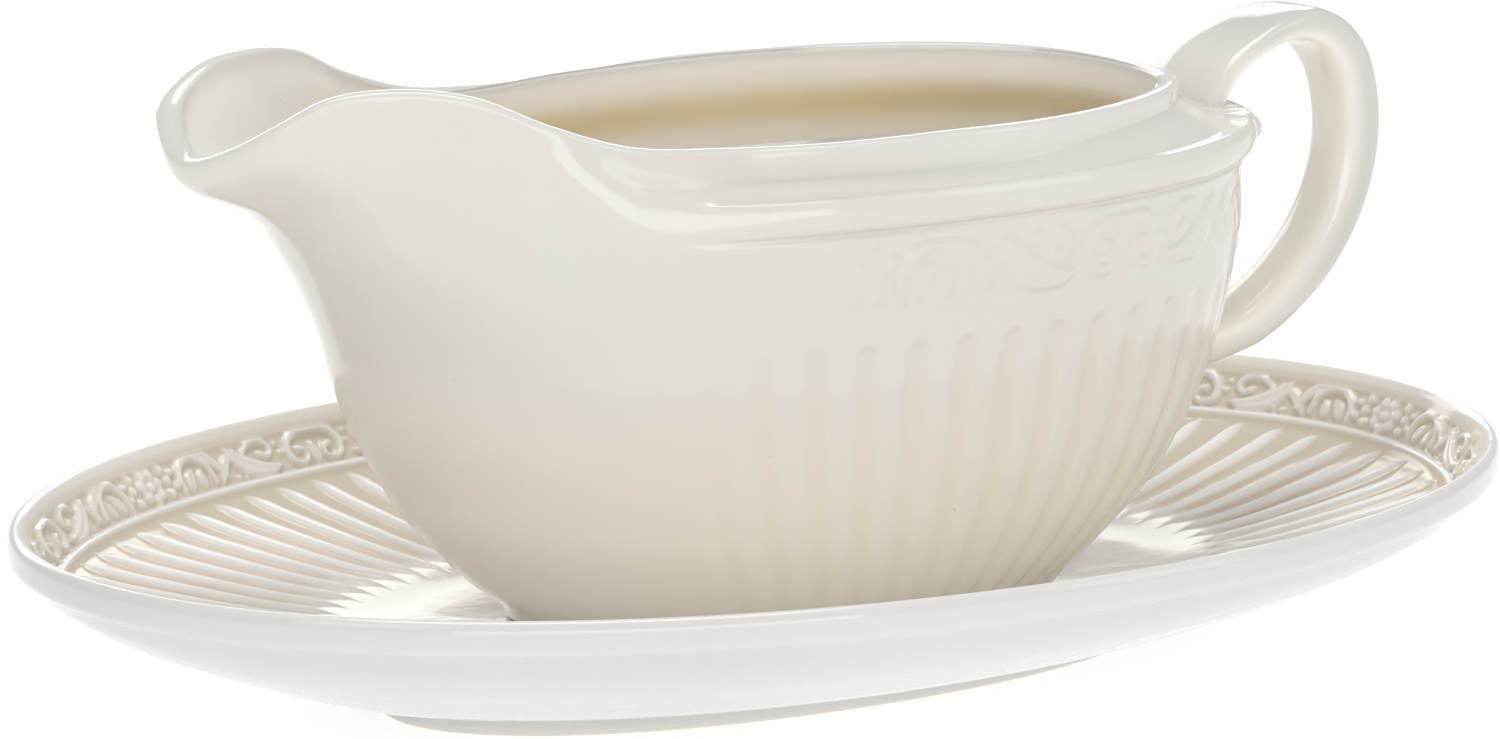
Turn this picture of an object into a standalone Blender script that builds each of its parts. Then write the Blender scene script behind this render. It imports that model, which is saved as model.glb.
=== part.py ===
"""Gravy boat with its saucer, in fired and glazed earthenware.

Three solids: the boat's bowl with its pouring spout, the strap handle that is
cast on its own and luted to the bowl, and the oval saucer that the boat
stands on. Lengths below are in millimetres and are turned into metres when a
mesh is made. +Z is up, +X points to the handle, -X to the spout, and the
origin is the middle of the saucer's foot on the table.
"""
import math

import bmesh
import bpy
import numpy as np

MM = 0.001

# ---------------------------------------------------------------- dimensions
SAUCER_A = 120.2          # half length of the saucer at its widest
SAUCER_B = 84.0           # half width
SAUCER_H = 29.6           # height of the saucer's rim
FOOT_A, FOOT_B = 66.0, 31.6    # saucer's foot ring, outer half axes
FOOT_W = 3.4              # width of the foot ring's flat
FOOT_H = 3.3              # height of the foot ring
FLOOR_Z = 9.8             # top of the saucer's well
GAP = 0.3                 # clearance between touching pieces
BOAT_Z = FLOOR_Z + GAP    # underside of the boat's foot
WALL = 3.9                # wall of the boat
RIM_HALF = 1.55           # half thickness of the boat's rim
LIP_EXTRA = 0.45          # extra half thickness at the pouring lip
FLOOR_T = 5.6             # thickness of the boat's floor
FOOT_RIM = 1.7            # height of the boat's low foot ring
SPOUT_FROM = 54.0         # height at which the spout starts to flare
# share of the flare against the share of the height from there to the rim
FLARE = [(0.0, 0.0), (0.2, 0.025), (0.33, 0.065), (0.47, 0.125), (0.6, 0.205), (0.667, 0.265),
         (0.733, 0.355), (0.8, 0.485), (0.867, 0.68), (0.933, 0.885), (1.0, 1.0)]
LIP_ROLL = 2.4            # how far below the crest the lip is already full
BOAT_X = 1.2              # the boat stands this far towards the handle's end of the saucer
MOULD_START, MOULD_FULL = -54.0, -18.0   # the collar fades in over this x
BOAT_SEG = 68             # points round the boat
SAUCER_SEG = 76           # points round the saucer
HANDLE_SEG = 18           # points round the handle
HANDLE_STEPS = 34

# crest of the boat's rim, from the handle end to the lip (x, y, z)
RIM_PTS = [(62.5, 0, 86.4), (60.0, 14.1, 86.6), (51.9, 25.3, 86.8), (38.0, 34.6, 86.8),
           (19.8, 39.9, 86.6), (3.6, 40.7, 86.6), (-14.6, 38.2, 86.1), (-30.8, 34.6, 86.3),
           (-46.1, 32.9, 87.7), (-58.0, 31.7, 91.6), (-68.1, 27.1, 96.0), (-78.0, 22.2, 97.2),
           (-86.4, 19.0, 96.2), (-93.0, 15.7, 92.5), (-95.8, 10.0, 89.3), (-97.9, 0, 86.5)]

# plan of the bowl at each height: half length to the spout, half length to
# the handle, half width
PLAN = [(10.1, 43.5, 44.0, 30.0), (12.5, 44.8, 46.2, 31.2), (17.0, 50.6, 51.5, 34.4),
        (22.5, 56.2, 58.0, 37.2), (28.7, 61.8, 63.6, 39.6), (35.0, 65.6, 67.6, 41.4),
        (42.0, 69.4, 71.0, 42.9), (49.4, 72.1, 73.5, 44.0), (56.0, 73.8, 75.2, 44.9),
        (62.6, 76.0, 76.2, 45.5), (73.5, 79.5, 76.8, 46.2), (75.8, 80.0, 77.9, 46.3),
        (79.2, 80.6, 78.1, 46.4), (86.5, 82.0, 78.1, 46.6)]
PLAN_N = 2.15             # squareness of the plan

# handle: x, z, thickness, half width along its centre line
HANDLE = [(72.4, 76.4, 4.6, 9.2), (73.8, 79.6, 4.4, 9.2), (76.0, 82.8, 4.2, 9.0), (79.5, 85.8, 4.1, 8.6),
          (83.8, 88.0, 4.3, 8.2), (88.8, 89.6, 4.8, 7.6), (94.0, 89.7, 5.6, 7.0), (98.7, 87.9, 6.9, 6.4),
          (102.5, 83.8, 7.9, 5.9), (104.6, 77.4, 8.5, 5.6), (104.9, 70.2, 8.7, 5.5), (103.2, 62.8, 8.6, 5.5),
          (99.6, 55.8, 8.3, 5.6), (94.4, 49.8, 8.0, 5.7), (88.2, 45.2, 7.6, 5.9), (81.8, 42.0, 7.4, 6.2),
          (75.4, 39.6, 7.8, 6.6), (68.0, 37.8, 8.4, 7.0), (60.0, 37.0, 9.0, 7.2)]
HANDLE_N = 3.0            # squareness of its section


# ------------------------------------------------------------------- helpers
def cubic(xs, ys, x):
    """C1 curve through a table, slopes from the neighbouring points."""
    xs, ys, x = np.asarray(xs, float), np.asarray(ys, float), np.asarray(x, float)
    h = np.diff(xs)
    many = ys.ndim > 1
    d = np.diff(ys, axis=0) / (h[:, None] if many else h)
    m = np.empty_like(ys)
    m[0], m[-1] = d[0], d[-1]
    w0, w1 = (h[1:, None], h[:-1, None]) if many else (h[1:], h[:-1])
    m[1:-1] = (w0 * d[:-1] + w1 * d[1:]) / (w0 + w1)
    i = np.clip(np.searchsorted(xs, x) - 1, 0, len(xs) - 2)
    hh = h[i]
    t = (x - xs[i]) / hh
    if many:
        t, hh = t[..., None], hh[..., None]
    t2, t3 = t * t, t * t * t
    return ((2 * t3 - 3 * t2 + 1) * ys[i] + (t3 - 2 * t2 + t) * hh * m[i]
            + (3 * t2 - 2 * t3) * ys[i + 1] + (t3 - t2) * hh * m[i + 1])


def smooth(a, b, x):
    t = np.clip((np.asarray(x, float) - a) / (b - a), 0.0, 1.0)
    return t * t * (3 - 2 * t)


def closed_table(points):
    """The half rim mirrored a little past both ends, with its arc length."""
    p = np.array(points, float)
    flip = np.array([1, -1, 1])
    q = np.concatenate([(p[1:3] * flip)[::-1], p, (p[-3:-1] * flip)[::-1]])
    s = np.concatenate([[0], np.cumsum(np.sqrt((np.diff(q, axis=0) ** 2).sum(1)))])
    s -= s[2]
    return s, q, s[-3]


RIM_S, RIM_Q, RIM_LEN = closed_table(RIM_PTS)


def rim(s):
    return cubic(RIM_S, RIM_Q, np.asarray(s, float) * RIM_LEN)


def plan(c, z, inset=0.0):
    """Half plan of the bowl at height z; c runs from 1 (handle) to -1 (lip)."""
    t = np.array(PLAN)
    al = cubic(t[:, 0], t[:, 1], z) - inset
    ar = cubic(t[:, 0], t[:, 2], z) - inset
    b = cubic(t[:, 0], t[:, 3], z) - inset
    x = np.where(c < 0, c * al, c * ar)
    y = b * np.clip(1 - np.abs(c) ** PLAN_N, 0, 1) ** (1 / PLAN_N)
    return x, y


class Boat:
    """Rings of the bowl's surface, for one half, from which it is mirrored."""

    def __init__(self, count):
        k = np.linspace(0, 1, count)
        s = k
        r = rim(s)
        e = 1e-3
        d = rim(np.clip(s + e, 0, 1)) - rim(np.clip(s - e, 0, 1))
        d[0] = (0, 1, 0)
        d[-1] = (0, -1, 0)
        n = np.stack([d[:, 1], -d[:, 0]], 1)
        n /= np.hypot(n[:, 0], n[:, 1])[:, None]
        r[0, 1] = r[-1, 1] = 0.0
        self.s, self.rim, self.nrm = s, r, n
        self.c = np.where(r[:, 0] < 0, -r[:, 0] / RIM_PTS[-1][0], r[:, 0] / RIM_PTS[0][0])
        self.c = np.clip(self.c, -1, 1)
        self.lip = smooth(-84, -96, r[:, 0])
        self.half = RIM_HALF + LIP_EXTRA * self.lip
        self.round = 0.9 + 0.5 * self.lip
        self.m = smooth(MOULD_START, MOULD_FULL, r[:, 0])
        self.zrim = r[:, 2]

    def at_rim(self, off, dz):
        return np.stack([self.rim[:, 0] + self.nrm[:, 0] * off, self.rim[:, 1] + self.nrm[:, 1] * off,
                         self.zrim + dz], 1)

    def flare(self, z):
        end = 86.4 - LIP_ROLL * self.lip
        u = np.clip((z - SPOUT_FROM) / (end - SPOUT_FROM), 0, 1)
        t = np.array(FLARE)
        return cubic(t[:, 0], t[:, 1], u)

    def spout(self, z, off, dz, inset):
        """Ring at nominal height z of the smooth skin that ends at the rim."""
        x, y = plan(self.c, z, inset)
        xt, yt = plan(self.c, 86.4, inset)
        h = self.flare(z)
        r = self.at_rim(off, dz)
        zz = np.minimum(z, 86.4)
        return np.stack([x + h * (r[:, 0] - xt), y + h * (r[:, 1] - yt), zz + h * (r[:, 2] - 86.4)], 1)

    def outer(self, z, bulge=0.0):
        base = self.spout(z, self.half, -self.round, 0.0)
        x, y = plan(self.c, z, -bulge)
        side = np.stack([x, y, np.full_like(x, z)], 1)
        m = self.m[:, None]
        return base * (1 - m) + side * m

    def band_z(self):
        return 81.4 + 2.4 * smooth(0, 50, self.rim[:, 0])

    def cove(self, f, z):
        """Shoulder between the collar's edge (f = 0) and the foot of the rim band (f = 1)."""
        base = self.spout(z, self.half, -self.round, 0.0)
        x, y = plan(self.c, 79.2)
        r = self.at_rim(self.half, 0)
        zb = self.band_z()
        side = np.stack([x + f * (r[:, 0] - x), y + f * (r[:, 1] - y), 79.3 + (zb - 79.3) * f ** 2.2], 1)
        m = self.m[:, None]
        return base * (1 - m) + side * m

    def band(self, f, z):
        base = self.spout(z, self.half, -self.round, 0.0)
        r = self.at_rim(self.half, -self.round)
        zb = self.band_z()
        r[:, 2] = zb + (r[:, 2] - zb) * f
        m = self.m[:, None]
        return base * (1 - m) + r * m

    def inner(self, z, inset):
        base = self.spout(z, -self.half, -self.round, inset)
        x, y = plan(self.c, z, inset)
        r = self.at_rim(-self.half, 0)
        k = smooth(73.0, 81.5, z)
        side = np.stack([x + k * (r[:, 0] - x), y + k * (r[:, 1] - y), np.full_like(x, z)], 1)
        m = self.m[:, None]
        return base * (1 - m) + side * m


def boat_rings(count):
    """Half rings from the middle of the underside, over the rim, to the middle inside."""
    b = Boat(count)
    rings = []

    def flat(z, inset, dz=0.0):
        x, y = plan(b.c, z, inset)
        rings.append(np.stack([x, y, np.full_like(x, z + dz)], 1))

    # underside: shallow recess inside the foot ring
    flat(BOAT_Z, 24.0, FOOT_RIM)
    flat(BOAT_Z, 4.6, FOOT_RIM - 0.2)
    flat(BOAT_Z, 3.6, 0.25)
    flat(BOAT_Z, 3.1, 0.0)
    flat(BOAT_Z, 0.9, 0.0)
    flat(BOAT_Z, 0.25, 0.35)
    for z in (12.0, 14.2, 17.0, 20.5, 25.0, 30.0, 36.0, 43.0, 50.5, 57.5):
        rings.append(b.outer(z))
    for z, bulge in ((62.5, 0), (68.0, 0), (72.0, 0), (73.6, 0), (74.0, -0.45), (74.7, 0.35), (76.4, 0.9),
                     (78.2, 0.75), (79.2, 0.0)):
        rings.append(b.outer(z, bulge))
    for f, z in ((0.3, 80.0), (0.65, 80.8), (1.0, 81.6)):
        rings.append(b.cove(f, z))
    for f, z in ((0.5, 84.0), (1.0, 86.4)):
        rings.append(b.band(f, z))
    top = b.half[:, None]
    up = b.at_rim(0, 0)
    n3 = np.concatenate([b.nrm, np.zeros((count, 1))], 1)
    for deg in (35, 65, 90, 115, 145):
        a = math.radians(deg)
        lift = b.round * (math.sin(a) - 1.0)
        rings.append(up + n3 * top * math.cos(a) + np.stack([0 * lift, 0 * lift, lift], 1))
    for z in (86.4, 83.6, 80.5, 78.0, 75.5, 73.0, 69.0, 63.0, 56.0, 48.0, 40.0, 33.0, 27.0, 22.5, 19.2):
        inset = WALL + 2.3 * smooth(45.0, 18.0, z)
        rings.append(b.inner(z, float(inset)))
    flat(17.0, 8.6, 0.0)
    flat(15.9, 16.0, 0.0)
    flat(15.7, 26.0, 0.0)
    return rings


def mesh_from_half_rings(name, rings, material):
    """Mirror the half rings, skin them and close both middles."""
    full = []
    for r in rings:
        other = (r[1:-1] * [1, -1, 1])[::-1]
        full.append(np.concatenate([r, other]))
    return skin(name, full, material)


def skin(name, full, material):
    bm = bmesh.new()
    loops = [[bm.verts.new(tuple(float(v) * MM for v in p)) for p in ring] for ring in full]
    n = len(loops[0])
    for a, b in zip(loops[:-1], loops[1:]):
        for i in range(n):
            j = (i + 1) % n
            bm.faces.new((a[i], a[j], b[j], b[i]))
    for ring in (loops[0], loops[-1]):
        c = np.mean([v.co for v in ring], axis=0)
        mid = bm.verts.new(tuple(c))
        for i in range(n):
            bm.faces.new((ring[i], ring[(i + 1) % n], mid))
    bmesh.ops.recalc_face_normals(bm, faces=bm.faces)
    mesh = bpy.data.meshes.new(name)
    bm.to_mesh(mesh)
    bm.free()
    mesh.shade_smooth()
    ob = bpy.data.objects.new(name, mesh)
    bpy.context.collection.objects.link(ob)
    if material:
        mesh.materials.append(material)
    return ob


# ------------------------------------------------------------------- saucer
def saucer_rings(count):
    """Rings from the middle of the well, over the rim, to the middle of the underside."""
    da, db = SAUCER_A, SAUCER_B
    th = np.linspace(0, 2 * np.pi, count, endpoint=False)

    def ring(a, b, z, n=2.04):
        c, s = np.cos(th), np.sin(th)
        return np.stack([a * np.sign(c) * np.abs(c) ** (2 / n), b * np.sign(s) * np.abs(s) ** (2 / n),
                         np.full(count, float(z))], 1)

    out = [ring(40, 20, FLOOR_Z), ring(60, 33.5, FLOOR_Z), ring(68, 38.5, FLOOR_Z + 0.6), ring(74.5, 43.5, FLOOR_Z + 2.0),
           ring(84, 51.2, FLOOR_Z + 3.7), ring(97, 62, FLOOR_Z + 6.6), ring(109, 72.4, FLOOR_Z + 9.9),
           ring(112.6, 75.8, FLOOR_Z + 11.3), ring(115.2, 78.7, FLOOR_Z + 14.4), ring(117.2, 80.9, FLOOR_Z + 17.4),
           ring(118.0, 81.8, SAUCER_H - 0.7), ring(118.8, 82.6, SAUCER_H - 0.1), ring(119.5, 83.3, SAUCER_H - 0.1),
           ring(120.1, 83.9, SAUCER_H - 0.8), ring(da, db, SAUCER_H - 2.2), ring(da, db, SAUCER_H - 3.8),
           ring(da - 0.5, db - 0.5, SAUCER_H - 4.9)]
    for z, d in UNDERSIDE:
        out.append(ring(da - d, db - d * (SAUCER_B - FOOT_B) / (SAUCER_A - FOOT_A), z, 2.06))
    out += [ring(FOOT_A, FOOT_B, 1.2, 2.1), ring(FOOT_A - 0.2, FOOT_B - 0.2, 0.4, 2.1), ring(FOOT_A - 0.6, FOOT_B - 0.6, 0.0, 2.1),
            ring(FOOT_A - FOOT_W, FOOT_B - FOOT_W, 0.0, 2.1), ring(FOOT_A - FOOT_W - 0.4, FOOT_B - FOOT_W - 0.4, 0.5, 2.1),
            ring(FOOT_A - FOOT_W - 1.6, FOOT_B - FOOT_W - 1.6, 4.0, 2.1), ring(FOOT_A - FOOT_W - 5, FOOT_B - FOOT_W - 5, 4.9, 2.1),
            ring(34, 12, 5.0, 2.1)]
    return out


# underside from the rim to the foot ring: height, distance in from the edge
UNDERSIDE = [(22.3, 3.2), (19.9, 6.4), (17.0, 11.5), (13.8, 18.8), (10.6, 26.8), (7.7, 34.4), (5.0, 43.0),
             (FOOT_H, SAUCER_A - FOOT_A - 0.3)]


# ------------------------------------------------------------------- handle
def handle_mesh(name, material):
    h = np.array(HANDLE)
    s = np.concatenate([[0], np.cumsum(np.hypot(np.diff(h[:, 0]), np.diff(h[:, 1])))])
    t = np.linspace(0, s[-1], HANDLE_STEPS)
    p = cubic(s, h, t)
    d = cubic(s, h[:, :2], np.clip(t + 0.2, 0, s[-1])) - cubic(s, h[:, :2], np.clip(t - 0.2, 0, s[-1]))
    d /= np.hypot(d[:, 0], d[:, 1])[:, None]
    th = np.linspace(0, 2 * np.pi, HANDLE_SEG, endpoint=False)
    c = np.sign(np.cos(th)) * np.abs(np.cos(th)) ** (2 / HANDLE_N)
    q = np.sign(np.sin(th)) * np.abs(np.sin(th)) ** (2 / HANDLE_N)
    rings = []
    for (x, z, tk, hw), (dx, dz) in zip(p, d):
        nx, nz = -dz, dx
        rings.append(np.stack([x + nx * q * tk / 2, c * hw, z + nz * q * tk / 2], 1))
    return skin(name, rings, material)


def boolean(target, cutter, kind):
    m = target.modifiers.new(kind.lower(), 'BOOLEAN')
    m.operation = kind
    m.solver = 'EXACT'
    m.object = cutter
    cutter.hide_render = True
    cutter.display_type = 'WIRE'


def make_material(name, colour, roughness):
    m = bpy.data.materials.new(name)
    m.use_nodes = True
    p = m.node_tree.nodes['Principled BSDF']
    p.inputs['Base Color'].default_value = (*colour, 1.0)
    p.inputs['Roughness'].default_value = roughness
    p.inputs['Metallic'].default_value = 0.0
    m.diffuse_color = (*colour, 1.0)
    return m


def main():
    for ob in list(bpy.data.objects):
        bpy.data.objects.remove(ob, do_unlink=True)
    ivory = make_material('boat_glaze', (0.80, 0.77, 0.70), 0.12)
    ivory_handle = make_material('handle_glaze', (0.82, 0.79, 0.72), 0.12)
    ivory_saucer = make_material('saucer_glaze', (0.76, 0.73, 0.66), 0.12)

    skin('saucer', saucer_rings(SAUCER_SEG), ivory_saucer)
    rings = boat_rings(BOAT_SEG // 2 + 1)
    body = mesh_from_half_rings('boat_body', rings, ivory)

    # the outer skin grown by the gap, as a solid, trims both ends of the handle
    start, end = 4, len(rings) - 18 - 3
    grown = []
    for r in rings[start:end]:
        g = r.copy()
        centre = np.array([0.0, 0.0])
        e = np.gradient(g[:, :2], axis=0)
        nn = np.stack([e[:, 1], -e[:, 0]], 1)
        nn[0], nn[-1] = (1, 0), (-1, 0)
        nn /= np.hypot(nn[:, 0], nn[:, 1])[:, None]
        g[:, :2] += nn * 0.35
        g[0, 1] = g[-1, 1] = 0.0
        g[:, 2] += 0.33 * smooth(78.5, 80.0, g[:, 2])
        grown.append(g)
    cutter = mesh_from_half_rings('handle_trim', grown, None)
    handle = handle_mesh('boat_handle', ivory_handle)
    boolean(handle, cutter, 'DIFFERENCE')
    body.location.x = handle.location.x = cutter.location.x = BOAT_X * MM


main()
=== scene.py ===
"""Looks of the gravy boat and its saucer: full-resolution glazed surfaces, light and camera.

Lengths are in millimetres until a mesh is made. +X is the handle's end, -X the
pouring lip, +Z up, z = 0 the table under the saucer's foot.
"""

import math

import bpy
import numpy as np
from mathutils import Matrix, Vector


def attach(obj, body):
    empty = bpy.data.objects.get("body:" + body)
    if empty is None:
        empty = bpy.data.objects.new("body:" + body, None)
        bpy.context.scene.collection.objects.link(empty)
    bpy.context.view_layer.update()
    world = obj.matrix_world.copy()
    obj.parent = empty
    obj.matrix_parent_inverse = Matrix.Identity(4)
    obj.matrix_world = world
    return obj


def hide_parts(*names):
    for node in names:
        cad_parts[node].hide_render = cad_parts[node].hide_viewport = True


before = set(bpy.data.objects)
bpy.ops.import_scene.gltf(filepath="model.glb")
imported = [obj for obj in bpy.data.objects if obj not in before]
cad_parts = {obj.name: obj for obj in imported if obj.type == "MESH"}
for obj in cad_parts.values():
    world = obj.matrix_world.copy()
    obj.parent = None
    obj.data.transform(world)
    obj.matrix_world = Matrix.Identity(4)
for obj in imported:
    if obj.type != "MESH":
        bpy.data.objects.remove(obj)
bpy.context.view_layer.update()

MM = 0.001
scene = bpy.context.scene


# =============================================================== small helpers
def smooth(a, b, x):
    t = np.clip((np.asarray(x, float) - a) / (b - a), 0.0, 1.0)
    return t * t * (3 - 2 * t)


def cubic(xs, ys, x):
    """C1 curve through a table, slopes from the neighbouring points."""
    xs, ys, x = np.asarray(xs, float), np.asarray(ys, float), np.asarray(x, float)
    h = np.diff(xs)
    many = ys.ndim > 1
    d = np.diff(ys, axis=0) / (h[:, None] if many else h)
    m = np.empty_like(ys)
    m[0], m[-1] = d[0], d[-1]
    w0, w1 = (h[1:, None], h[:-1, None]) if many else (h[1:], h[:-1])
    m[1:-1] = (w0 * d[:-1] + w1 * d[1:]) / (w0 + w1)
    i = np.clip(np.searchsorted(xs, x) - 1, 0, len(xs) - 2)
    hh = h[i]
    t = (x - xs[i]) / hh
    if many:
        t, hh = t[..., None], hh[..., None]
    t2, t3 = t * t, t * t * t
    return ((2 * t3 - 3 * t2 + 1) * ys[i] + (t3 - 2 * t2 + t) * hh * m[i]
            + (3 * t2 - 2 * t3) * ys[i + 1] + (t3 - t2) * hh * m[i + 1])


def curve(points, count):
    """Evenly sampled smooth curve through a few named points."""
    p = np.array(points, float)
    s = np.concatenate([[0], np.cumsum(np.sqrt((np.diff(p, axis=0) ** 2).sum(1)))])
    q = cubic(s, p, np.linspace(0, s[-1], 400))
    s2 = np.concatenate([[0], np.cumsum(np.sqrt((np.diff(q, axis=0) ** 2).sum(1)))])
    t = np.linspace(0, s2[-1], count)
    return np.stack([np.interp(t, s2, q[:, j]) for j in range(q.shape[1])], 1)


def grid_normals(g):
    """Normals of a grid [row, around, 3] that is closed around."""
    du = np.roll(g, -1, 1) - np.roll(g, 1, 1)
    dv = np.gradient(g, axis=0)
    n = np.cross(du, dv)
    ln = np.sqrt((n ** 2).sum(2, keepdims=True))
    return n / np.maximum(ln, 1e-9)


def build_mesh(name, rings, attrs, material, shift_x=0.0):
    """Skin rings of points, where a ring may have half as many points as its neighbour."""
    verts, start = [], []
    n = 0
    for r in rings:
        start.append(n)
        verts.append(r)
        n += len(r)
    quads, tris = [], []
    for k in range(len(rings) - 1):
        na, nb = len(rings[k]), len(rings[k + 1])
        a0, b0 = start[k], start[k + 1]
        if na == nb:
            i = np.arange(na)
            j = (i + 1) % na
            quads.append(np.stack([a0 + i, a0 + j, b0 + j, b0 + i], 1))
        else:
            flip = nb > na
            if flip:
                na, nb, a0, b0 = nb, na, b0, a0
            i = np.arange(nb)
            j = (i + 1) % nb
            e0, e1, e2 = a0 + 2 * i, a0 + 2 * i + 1, a0 + (2 * i + 2) % na
            t = np.concatenate([np.stack([e0, e1, b0 + i], 1), np.stack([e1, b0 + j, b0 + i], 1),
                                np.stack([e1, e2, b0 + j], 1)])
            tris.append(t[:, ::-1] if flip else t)
    mids = []
    for k, way in ((0, 1), (len(rings) - 1, -1)):
        c = rings[k].mean(0)
        verts.append(c[None])
        i = np.arange(len(rings[k]))
        j = (i + 1) % len(rings[k])
        t = np.stack([start[k] + j, start[k] + i, np.full_like(i, n)], 1)
        tris.append(t if way == 1 else t[:, ::-1])
        mids.append(k)
        n += 1
    v = (np.concatenate(verts) + [shift_x, 0, 0]) * MM
    q = np.concatenate(quads)
    t = np.concatenate(tris)
    # faces point outwards when the solid's volume comes out positive
    tri_all = np.concatenate([q[:, [0, 1, 2]], q[:, [0, 2, 3]], t])
    p = v[tri_all]
    if np.einsum('ij,ij->i', p[:, 0], np.cross(p[:, 1], p[:, 2])).sum() < 0:
        q, t = q[:, ::-1], t[:, ::-1]
    mesh = bpy.data.meshes.new(name)
    mesh.from_pydata(v.tolist(), [], q.tolist() + t.tolist())
    mesh.update()
    mesh.shade_smooth()
    for key, parts in attrs.items():
        flat = np.concatenate([np.asarray(x, float) for x in parts]
                              + [[float(np.mean(parts[k]))] for k in mids]).astype(np.float32)
        layer = mesh.attributes.new(key, 'FLOAT', 'POINT')
        layer.data.foreach_set('value', flat)
    ob = bpy.data.objects.new(name, mesh)
    scene.collection.objects.link(ob)
    mesh.materials.append(material)
    return ob


# ============================================================ relief ornament
# One half repeat of the border, 38 long and 6.6 high, from the middle of a
# flower (x = 0) to the middle between two flowers (x = 38). It is laid round
# the rim turned over each time, so the border is symmetric about each flower.
REPEAT, BORDER_H, STEP = 38.0, 6.6, 0.11


def relief_border():
    nx, ny = int(REPEAT / STEP) + 1, int(BORDER_H / STEP) + 1
    x, y = np.meshgrid(np.arange(nx) * STEP, np.arange(ny) * STEP)
    f = np.zeros_like(x)

    def stroke(points, widths, height, top=0.5, count=60):
        nonlocal f
        p = curve(points, count)
        w = 1.22 * np.interp(np.linspace(0, 1, count), np.linspace(0, 1, len(widths)), widths)
        for (px, py), r in zip(p, w):
            for mx in (px, -px, 2 * REPEAT - px):     # neighbours across both mirror lines
                if mx < -3 or mx > REPEAT + 3:
                    continue
                d2 = ((x - mx) ** 2 + (y - py) ** 2) / (r * r)
                f = np.maximum(f, height * np.clip(1 - d2, 0, 1) ** top)

    def leaf(points, width, height):
        """A pointed leaf with a raised body and a sunk midrib."""
        nonlocal f
        stroke(points, [0.15, 0.75 * width, width, 0.9 * width, 0.6 * width, 0.15], height, 0.45)
        p = curve(points, 60)[6:-8]
        d = np.full_like(x, 9.0)
        for px, py in p:
            d = np.minimum(d, np.hypot(x - px, y - py))
        f = np.where(f > 0, np.maximum(f - 0.42 * height * np.exp(-(d / 0.26) ** 2), 0.0), f)

    def berry(px, py, r, height):
        nonlocal f
        for mx in (px, -px, 2 * REPEAT - px):
            d2 = ((x - mx) ** 2 + (y - py) ** 2) / (r * r)
            f = np.maximum(f, height * np.sqrt(np.clip(1 - d2, 0, 1)))

    # flower: an eye, a ring of petals, and berries leaning outwards
    for k in range(7):
        a = 2 * math.pi * k / 7 + 0.2
        berry(2.15 * math.cos(a), 3.3 + 2.15 * math.sin(a), 1.12, 0.75)
    berry(0.0, 3.3, 1.15, 0.95)
    for px, py, r in ((4.3, 1.5, 1.0), (4.7, 3.6, 1.05), (4.2, 5.4, 0.95), (6.2, 2.4, 0.85), (6.3, 4.7, 0.8)):
        berry(px, py, r, 0.7)
    # tall arch with two leaves inside it, crossed by a long leaf
    stroke([(7.6, 0.7), (7.5, 2.9), (8.8, 5.1), (11.2, 6.0), (13.6, 5.2), (15.1, 3.2), (15.4, 1.1)],
           [0.35, 0.6, 0.68, 0.66, 0.6, 0.5, 0.3], 0.72)
    leaf([(9.3, 0.8), (9.9, 2.6), (11.3, 4.3)], 1.0, 0.62)
    leaf([(12.4, 0.7), (12.7, 2.4), (13.4, 3.9)], 0.85, 0.6)
    leaf([(12.6, 6.1), (15.2, 5.4), (17.2, 3.4), (18.4, 1.2)], 0.85, 0.75)
    leaf([(16.6, 0.7), (18.0, 2.6), (20.2, 4.6), (22.0, 5.6)], 0.8, 0.68)
    # broad plain leaf that swings down and along
    leaf([(20.0, 5.9), (21.6, 4.0), (24.0, 2.1), (27.4, 1.2), (30.4, 1.5)], 1.55, 0.8)
    # small curl above it and a spray of dots
    stroke([(23.6, 4.6), (25.2, 5.8), (27.6, 5.9), (29.2, 4.9), (29.0, 3.7), (27.9, 3.3), (27.1, 3.9)],
           [0.3, 0.5, 0.58, 0.55, 0.5, 0.45, 0.55], 0.65)
    for px, py, r in ((20.6, 1.0, 0.62), (22.0, 0.8, 0.55), (31.4, 3.4, 0.6), (31.0, 5.0, 0.5)):
        berry(px, py, r, 0.5)
    # pair of open scrolls either side of the middle, with a small leaf between
    stroke([(38.0, 6.0), (35.6, 6.0), (33.4, 5.0), (32.7, 3.2), (33.4, 1.5), (35.0, 1.0), (36.2, 2.0),
            (35.9, 3.2), (34.9, 3.4)],
           [0.5, 0.6, 0.65, 0.66, 0.6, 0.52, 0.46, 0.42, 0.6], 0.72)
    leaf([(38.0, 0.6), (38.0, 2.4), (38.0, 4.3)], 0.95, 0.62)
    # soft casting: the moulded edges are rounded over
    for _ in range(3):
        g = np.pad(f, 1, mode='edge')
        f = (g[1:-1, 1:-1] * 4 + (g[:-2, 1:-1] + g[2:, 1:-1] + g[1:-1, :-2] + g[1:-1, 2:]) * 2
             + g[:-2, :-2] + g[:-2, 2:] + g[2:, :-2] + g[2:, 2:]) / 16
    edge = smooth(0.0, 0.35, y) * smooth(BORDER_H, BORDER_H - 0.35, y)
    return f * edge


BORDER = relief_border()


def border_at(phase, v):
    """Height of the border; phase counts half repeats, v runs 0..1 across it."""
    j = np.floor(phase).astype(int)
    u = phase - j
    u = np.where(j % 2 == 1, 1 - u, u)
    fx = np.clip(u * REPEAT / STEP, 0, BORDER.shape[1] - 1.001)
    fy = np.clip(v * BORDER_H / STEP, 0, BORDER.shape[0] - 1.001)
    ix, iy = fx.astype(int), fy.astype(int)
    tx, ty = fx - ix, fy - iy
    h = ((BORDER[iy, ix] * (1 - tx) + BORDER[iy, ix + 1] * tx) * (1 - ty)
         + (BORDER[iy + 1, ix] * (1 - tx) + BORDER[iy + 1, ix + 1] * tx) * ty)
    return np.where((v > 0) & (v < 1), h, 0.0)


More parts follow.
